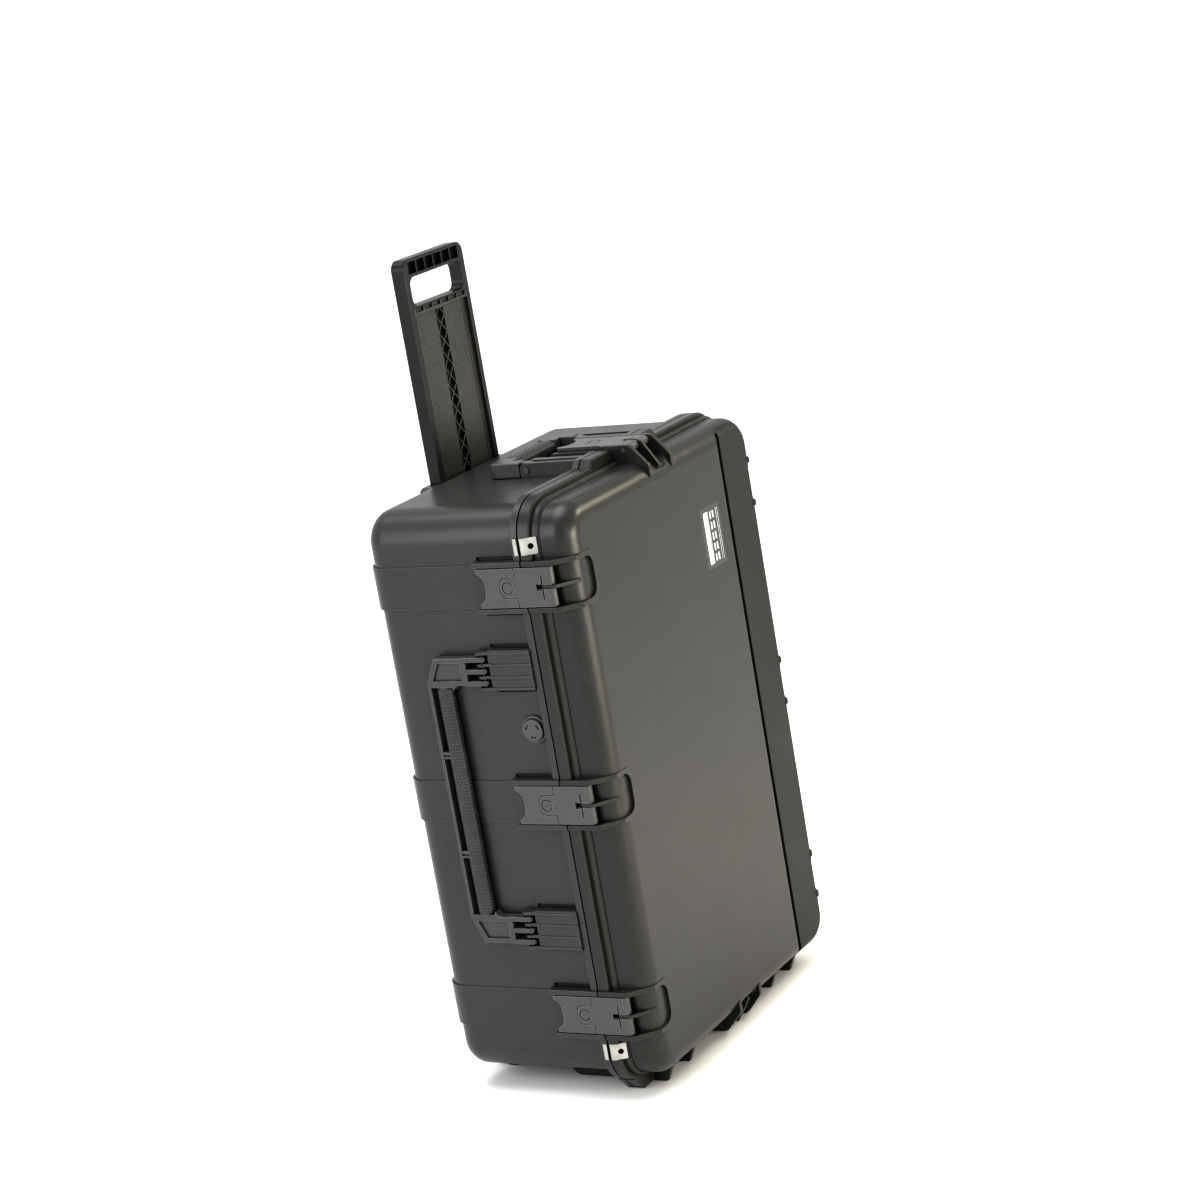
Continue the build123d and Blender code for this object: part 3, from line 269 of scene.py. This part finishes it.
def metal(name, colour, roughness, brush):
    """Plated or brushed steel, with fine lines along Z and faint smudges."""
    shader = Shader(name)
    rounded, edge = shader.edges(0.35 * MM)
    lines = shader.noise(1.0, 3.0, shader.turned((0, 0, 0), (brush, brush, brush * 0.04)))
    smudges = shader.noise(55.0, 4.0)
    base = shader.mix(shader.fit(smudges, 0.35, 0.7), shade(colour, 0.82), shade(colour, 1.1))
    # Painted highlight: the colour is lightened along every edge.
    base = shader.mix(shader.maths("MULTIPLY", edge, 0.3), base, shade(colour, 1.3))
    gloss = shader.fit(lines, 0.3, 0.7, roughness - 0.07, roughness + 0.12)
    shader.set(
        Base_Color=base,
        Metallic=1.0,
        Roughness=gloss,
        Normal=shader.bump(lines, 0.03 * MM, 0.5, rounded),
    )
    return shader.material


def glossy_plate(name):
    """The label's dark glossy face, with fine dust and swirls."""
    shader = Shader(name)
    rounded, edge = shader.edges(0.4 * MM)
    dust = shader.fit(shader.noise(260.0, 5.0), 0.55, 0.75)
    base = shader.mix(shader.maths("MULTIPLY", dust, 0.25), (0.012, 0.012, 0.013, 1), (0.09, 0.09, 0.09, 1))
    # Painted highlight: the colour is lightened along every edge.
    base = shader.mix(shader.maths("MULTIPLY", edge, 0.4), base, (0.10, 0.10, 0.10, 1))
    shader.set(
        Base_Color=base,
        Roughness=shader.fit(shader.noise(30.0, 3.0), 0.3, 0.7, 0.20, 0.32),
        Normal=shader.bump(shader.noise(120.0, 2.0), 0.02 * MM, 0.4, rounded),
        Coat_Weight=0.3,
        Coat_Roughness=0.12,
    )
    return shader.material


def studio_floor():
    """Pale matt floor."""
    shader = Shader("pale_floor")
    tone = shader.fit(shader.noise(900.0, 2.0), 0.3, 0.7)
    shader.set(
        Base_Color=shader.mix(tone, (0.835, 0.835, 0.83, 1), (0.845, 0.845, 0.84, 1)),
        Roughness=0.9,
        Specular_IOR_Level=0.1,
    )
    return shader.material


SHELL = moulded_plastic("shell_plastic", (0.0330, 0.0327, 0.0315), 0.31, 1150.0, 0.08 * MM, 0.8)
# The lid's copy of the shell plastic has a darker colour than the base's: painted shade that evens out the
# key light falling on the lid.
LID_SHELL = moulded_plastic(
    "lid_plastic", (0.0185, 0.0182, 0.0167), 0.31, 1150.0, 0.08 * MM, 0.8,
    mottle=0.13, patch=(hinge_strip, 0.7, 0.2),
)
LATCH = moulded_plastic(
    "latch_plastic", (0.064, 0.0642, 0.0628), 0.32, 1700.0, 0.04 * MM, 0.8, scuffs=0.4, waviness=0.3,
)
HANDLE = moulded_plastic(
    "handle_plastic", (0.049, 0.049, 0.0478), 0.31, 1500.0, 0.05 * MM, 0.9, waviness=0.5,
)
# The pull handle's border and grip bar are darkened almost to black: painted shade for their deep recesses
# and cells.
PULL = moulded_plastic(
    "pull_handle_plastic", (0.030, 0.0292, 0.0275), 0.33, 900.0, 0.10 * MM, 0.9, scuffs=1.0,
    mottle=0.45, reach=12 * MM, patch=(pull_border, 0.90, -0.01),
)
HUB = moulded_plastic("hub_plastic", (0.024, 0.024, 0.024), 0.5, 1500.0, 0.06 * MM)
GRIP = rubber("grip_rubber", (0.019, 0.019, 0.0192), 0.40, 1100.0, 0.10 * MM)
# The dots' lighter colour is a painted glint on the raised dots.
GRIP_DOTS = rubber("grip_dots_painted_glint", (0.085, 0.085, 0.085), 0.28, 1500.0, 0.03 * MM)
FOOT = rubber("foot_rubber", (0.012, 0.012, 0.012), 0.72, 900.0, 0.10 * MM)
TYRE = rubber("tyre_rubber", (0.014, 0.014, 0.014), 0.66, 1100.0, 0.08 * MM)
SEAL = rubber("seal_rubber", (0.020, 0.020, 0.021), 0.6, 1400.0, 0.06 * MM)
STEEL = metal("brushed_steel", (0.44, 0.43, 0.40), 0.30, 2600.0)
PIN_STEEL = metal("dark_pin_steel", (0.10, 0.10, 0.105), 0.38, 1500.0)
SPRING_WIRE = metal("spring_wire", (0.55, 0.55, 0.56), 0.25, 1500.0)
PLATE = glossy_plate("label_gloss")
SILVER = metal("silver_ink", (0.58, 0.59, 0.60), 0.42, 900.0)
BY_SLOT = {
    "shell": SHELL, "latch": LATCH, "handle": HANDLE, "hub": HUB, "grip": GRIP, "foot": FOOT,
    "tyre": TYRE, "seal": SEAL, "steel": STEEL, "pin": PIN_STEEL, "label": PLATE,
}
BY_NODE = {"pull_handle_blade": PULL, "lid_shell": LID_SHELL}


def dress_cad():
    """Give every CAD node its own material, or else the one of its slot in the record."""
    for entry in frame["record"]["subparts"]:
        node = frame["nodes"][entry["node"]]
        material = BY_NODE.get(entry["node"], BY_SLOT[entry["material_slot"]])
        if not node.material_slots:
            node.data.materials.append(material)
        for place in node.material_slots:
            place.link = "OBJECT"
            place.material = material


# ---------------------------------------------------------------- mesh helpers


def piece_from(name, soup, material, body):
    """A mesh piece, made from gathered shapes, that rides on a body."""
    mesh = bpy.data.meshes.new(name)
    mesh.from_pydata([tuple(v) for v in soup.vertices], [], soup.faces)
    mesh.validate()
    shape = bmesh.new()
    shape.from_mesh(mesh)
    bmesh.ops.recalc_face_normals(shape, faces=shape.faces)
    shape.to_mesh(mesh)
    shape.free()
    mesh.materials.append(material)
    piece = bpy.data.objects.new(name, mesh)
    bpy.context.scene.collection.objects.link(piece)
    mesh.shade_smooth()
    mesh.set_sharp_from_angle(angle=math.radians(40))
    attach(piece, body)
    return piece


def corners(node):
    """A node's lowest and highest corners."""
    low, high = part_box(node)
    return Vector(low), Vector(high)


def round_angles(count):
    """Equal steps round a circle."""
    return [2 * math.pi * k / count for k in range(count)]


def upright(normal):
    """Rotation that turns Z to a normal."""
    return Vector((0, 0, 1)).rotation_difference(Vector(normal)).to_matrix()


class Soup:
    """Vertices and faces gathered from several closed shapes."""

    def __init__(self):
        self.vertices = []
        self.faces = []

    def rings(self, loops):
        """Skin a list of equal loops of points, with a cap at both ends."""
        start, count = len(self.vertices), len(loops[0])
        for loop in loops:
            self.vertices.extend(Vector(point) for point in loop)
        last = start + (len(loops) - 1) * count
        for near in range(start, last, count):
            for j in range(count):
                k = (j + 1) % count
                self.faces.append((near + j, near + k, near + count + k, near + count + j))
        self.faces.append(tuple(start + j for j in reversed(range(count))))
        self.faces.append(tuple(last + j for j in range(count)))

    def dome(self, centre, normal, radius, height):
        """A small raised dot on a surface."""
        turn, angles = upright(normal), round_angles(6)
        self.rings([
            [
                centre + turn @ Vector((
                    radius * reach * math.cos(a), radius * reach * math.sin(a), height * rise,
                ))
                for a in angles
            ]
            for reach, rise in ((1.0, -0.3), (0.95, 0.25), (0.72, 0.72), (0.30, 0.98))
        ])


# ---------------------------------------------------------------- soft grips


def oval(angle, half_w, half_d, power):
    """A point and the outward normal of a rounded-rectangle section at an angle."""
    c, s = math.cos(angle), math.sin(angle)
    x = half_w * math.copysign(abs(c) ** (2 / power), c)
    y = half_d * math.copysign(abs(s) ** (2 / power), s)
    nx = math.copysign(abs(c) ** (2 - 2 / power), c) / half_w
    ny = math.copysign(abs(s) ** (2 - 2 / power), s) / half_d
    size = math.hypot(nx, ny)
    return x, y, nx / size, ny / size


def soft_grip(name, node, body, along, across, depth):
    """A crowned soft sleeve in a CAD sleeve's place, covered with raised dots.

    along, across and depth are axis numbers.
    """
    low, high = corners(node)
    middle, half = (low + high) / 2, (high - low) / 2

    def section(t, angle, swell):
        """A point and a normal on the sleeve, t from -1 to 1 along it."""
        x, y, nx, ny = oval(angle, half[across] * swell, half[depth] * swell, 2.5)
        point, normal = middle.copy(), Vector((0, 0, 0))
        point[along] += t * half[along]
        point[across] += x
        point[depth] += y
        normal[across], normal[depth] = nx, ny
        return point, normal

    def swell(t):
        """The sleeve's rounded ends and slight waist."""
        end = max(0.0, (abs(t) - 0.985) / 0.015)
        return (0.985 + 0.015 * math.cos(t * math.pi)) * (1 - 0.10 * end ** 2)

    # Even stations, and a few more where each end rounds over
    stations, end_steps = 64, (0.987, 0.993, 0.997)
    steps = [-1 + 2 * i / stations for i in range(stations + 1)]
    steps = sorted(steps + [side * t for side in (-1, 1) for t in end_steps])
    sleeve = Soup()
    sleeve.rings([[section(t, angle, swell(t))[0] for angle in round_angles(56)] for t in steps])
    piece = piece_from(name, sleeve, GRIP, body)
    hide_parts(node)
    dots = Soup()
    rows, pitch, radius, rise = 16, 4.6 * MM, 1.0 * MM, 0.5 * MM
    columns = int(2 * half[along] / pitch) - 2
    for column in range(columns):
        t = -1 + 2 * (column + 1.5) / (columns + 2)
        for row in range(rows):
            angle = 2 * math.pi * (row + 0.5 * (column % 2)) / rows
            point, normal = section(t, angle, swell(t))
            dots.dome(point, normal, radius, rise)
    piece_from(f"{name}_dots", dots, GRIP_DOTS, body)


# ---------------------------------------------------------------- springs and screws


def coil_spring(latch):
    """The return spring around a trigger's pin, in place of its plain tube."""
    node = f"trigger_spring_{latch}"
    low, high = corners(node)
    middle, half = (low + high) / 2, (high - low) / 2
    along = max(range(3), key=lambda axis: half[axis])
    side, up = (axis for axis in range(3) if axis != along)
    axis = Vector((0, 0, 0))
    axis[along] = 1.0
    wire, turns, per_turn = 0.32 * MM, 6, 20
    radius, reach = half[side] - wire, half[along] - wire
    steps = turns * per_turn
    loops = []
    for i in range(steps + 1):
        angle = 2 * math.pi * i / per_turn
        outward = Vector((0, 0, 0))
        outward[side], outward[up] = math.cos(angle), math.sin(angle)
        centre = middle + axis * reach * (2 * i / steps - 1) + outward * radius
        loops.append([
            centre + wire * (outward * math.cos(a) + axis * math.sin(a)) for a in round_angles(8)
        ])
    soup = Soup()
    soup.rings(loops)
    piece = piece_from(f"coil_{latch}", soup, SPRING_WIRE, f"latch_arm_{latch}")
    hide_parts(node)


def cross_reach(angle, arm, half_width):
    """How far a plus-shaped recess reaches at an angle."""
    narrow = min(abs(math.cos(angle)), abs(math.sin(angle)))
    return min(arm, half_width / max(narrow, 1e-6))


def add_screw(soup, seat, normal, radius, height, shank, length):
    """A pan-head screw with a plus-shaped recess, sitting at a point and pointing along a normal."""
    turn, angles = upright(normal), round_angles(64)
    arm, slot_half = radius * 0.52, radius * 0.13

    def ring(reach, level):
        return [
            seat + turn @ Vector((reach(a) * math.cos(a), reach(a) * math.sin(a), level)) for a in angles
        ]

    soup.rings([
        ring(lambda a: shank, -length),
        ring(lambda a: shank, 0.0),
        ring(lambda a: radius, 0.0),
        ring(lambda a: radius, height * 0.45),
        ring(lambda a: radius * 0.93, height * 0.75),
        ring(lambda a: radius * 0.78, height * 0.93),
        ring(lambda a: radius * 0.60, height),
        ring(lambda a: cross_reach(a, arm, slot_half), height),
        ring(lambda a: cross_reach(a, arm * 0.8, slot_half * 0.7), height * 0.25),
    ])


def cover_screws():
    """Eight screws through the channel's cover, four down each side."""
    low, high = corners("cover_screws")
    head, rise, shank = 3.8 * MM, 1.4 * MM, 1.75 * MM
    soup = Soup()
    for x in (low.x + head, high.x - head):
        for row in range(4):
            z = low.z + head + (high.z - low.z - 2 * head) * row / 3
            seat = Vector((x, high.y - rise, z))
            add_screw(soup, seat, (0, 1, 0), head, rise, shank, high.y - low.y - rise)
    piece = piece_from("cover_screw_heads", soup, STEEL, "case_base")
    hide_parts("cover_screws")


def foot_screws():
    """Two screws up into each foot."""
    low, high = corners("foot_screws")
    head, rise, shank = 5.0 * MM, 3.0 * MM, 2.35 * MM
    soup = Soup()
    for x in (low.x + head, high.x - head):
        for y in (low.y + head, high.y - head):
            seat = Vector((x, y, low.z + rise))
            add_screw(soup, seat, (0, 0, -1), head, rise, shank, high.z - low.z - rise)
    piece = piece_from("foot_screw_heads", soup, STEEL, "case_base")
    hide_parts("foot_screws")


# ---------------------------------------------------------------- label


def rounded_bar(soup, x, y, z, width, height, rise, corner):
    """A raised flat mark on the lid's face, with rounded corners and a soft rim."""
    loops = []
    for inset, level in ((0.0, 0.0), (0.0, rise * 0.6), (rise * 0.6, rise)):
        reach = max(corner - inset, 0.02 * MM)
        loop = []
        for quarter, (sx, sz) in enumerate(((1, 1), (-1, 1), (-1, -1), (1, -1))):
            for step in range(5):
                angle = math.pi / 2 * (quarter + step / 4)
                loop.append((
                    x + sx * (width / 2 - inset - reach) + reach * math.cos(angle),
                    y - level,
                    z + sz * (height / 2 - inset - reach) + reach * math.sin(angle),
                ))
        loops.append(loop)
    soup.rings(loops)


def label_inlays():
    """Plain silver marks on the label: a broad bar, two columns of short bars and two thin lines."""
    low, high = corners("label_plate")
    middle, face, rise = (low + high) / 2, low.y + 0.05 * MM, 0.3 * MM
    length, pitch = 76 * MM, 15.4 * MM
    soup = Soup()
    rounded_bar(soup, low.x + 15 * MM, face, middle.z, 14 * MM, length, rise, 2 * MM)
    for x in (29 * MM, 37 * MM):
        for row in range(-2, 3):
            rounded_bar(soup, low.x + x, face, middle.z + row * pitch, 4.2 * MM, 11 * MM, rise, 1 * MM)
    for x in (46.5 * MM, 51.0 * MM):
        rounded_bar(soup, low.x + x, face, middle.z, 0.9 * MM, length, rise, 0.4 * MM)
    piece_from("label_inlays", soup, SILVER, "lid")


# ---------------------------------------------------------------- studio


def camera():
    """The photo's viewpoint, with its tilt."""
    data = bpy.data.cameras.new("camera")
    data.lens, data.sensor_width = LENS, 36.0
    data.clip_end = 200.0
    back = Vector((
        -math.sin(VIEW_AZIMUTH) * math.cos(VIEW_HEIGHT),
        -math.cos(VIEW_AZIMUTH) * math.cos(VIEW_HEIGHT),
        math.sin(VIEW_HEIGHT),
    ))
    level = (-back).cross(Vector((0, 0, 1))).normalized()
    up = level.cross(-back)
    right = level * math.cos(ROLL) + up * math.sin(ROLL)
    up = up * math.cos(ROLL) - level * math.sin(ROLL)
    eye = bpy.data.objects.new("camera", data)
    bpy.context.scene.collection.objects.link(eye)
    turn = Matrix((right, up, back)).transposed().to_4x4()
    eye.matrix_world = Matrix.Translation(AIM + back * DISTANCE) @ turn
    bpy.context.scene.camera = eye


def softbox(name, place, target, width, height, watts, colour):
    """A soft area light that points at a target."""
    data = bpy.data.lights.new(name, "AREA")
    data.shape, data.size, data.size_y = "RECTANGLE", width, height
    data.energy, data.color = watts, colour
    light = bpy.data.objects.new(name, data)
    light.location = place
    light.rotation_euler = (Vector(target) - Vector(place)).to_track_quat("-Z", "Y").to_euler()
    light.visible_camera = False
    bpy.context.scene.collection.objects.link(light)


def pale_floor():
    """A wide disc, a hair below the feet."""
    reach, drop = 60.0, 0.2 * MM
    rim = [(reach * math.cos(a), reach * math.sin(a), 0.0) for a in round_angles(64)]
    mesh = bpy.data.meshes.new("floor")
    mesh.from_pydata(rim, [], [tuple(range(len(rim)))])
    mesh.materials.append(studio_floor())
    floor = bpy.data.objects.new("floor", mesh)
    floor.location.z = -drop
    bpy.context.scene.collection.objects.link(floor)


def studio():
    """Even surroundings, five softboxes and a soft light from overhead."""
    world = bpy.data.worlds.new("studio")
    bpy.context.scene.world = world
    world.use_nodes = True
    surroundings = world.node_tree.nodes["Background"]
    surroundings.inputs["Color"].default_value = (0.97, 0.985, 1.0, 1.0)
    surroundings.inputs["Strength"].default_value = 0.75
    middle, floor_patch = (0.0, 0.0, 0.5), (0.6, -0.75, 0.0)
    softbox("key", (0.1, -3.8, 0.5), middle, 2.2, 1.2, 104, (1.0, 0.90, 0.68))
    softbox("low", (0.75, -0.95, 1.3), floor_patch, 0.5, 0.5, 10, (1.0, 0.90, 0.66))
    softbox("fill", (-3.4, 1.4, 2.0), middle, 1.6, 2.4, 50, (0.97, 0.985, 1.0))
    softbox("edge", (-2.6, -4.2, 1.6), middle, 0.8, 2.6, 22, (1.0, 0.99, 0.97))
    softbox("top", (-0.4, 0.6, 4.0), middle, 2.4, 2.4, 45, (0.97, 0.985, 1.0))
    overhead = bpy.data.lights.new("overhead", "SUN")
    overhead.energy, overhead.angle = 1.2, math.radians(50)
    bpy.context.scene.collection.objects.link(bpy.data.objects.new("overhead", overhead))
    view = bpy.context.scene.view_settings
    view.view_transform = "Standard"
    view.look = "High Contrast"


# ---------------------------------------------------------------- assembly


dress_cad()
soft_grip("front_grip_sleeve", "front_handle_grip", "front_handle", 2, 1, 0)
soft_grip("top_grip_sleeve", "top_handle_grip", "top_handle", 0, 1, 2)
for latch_name in LATCHES:
    coil_spring(latch_name)
cover_screws()
foot_screws()
label_inlays()
camera()
pale_floor()
studio()
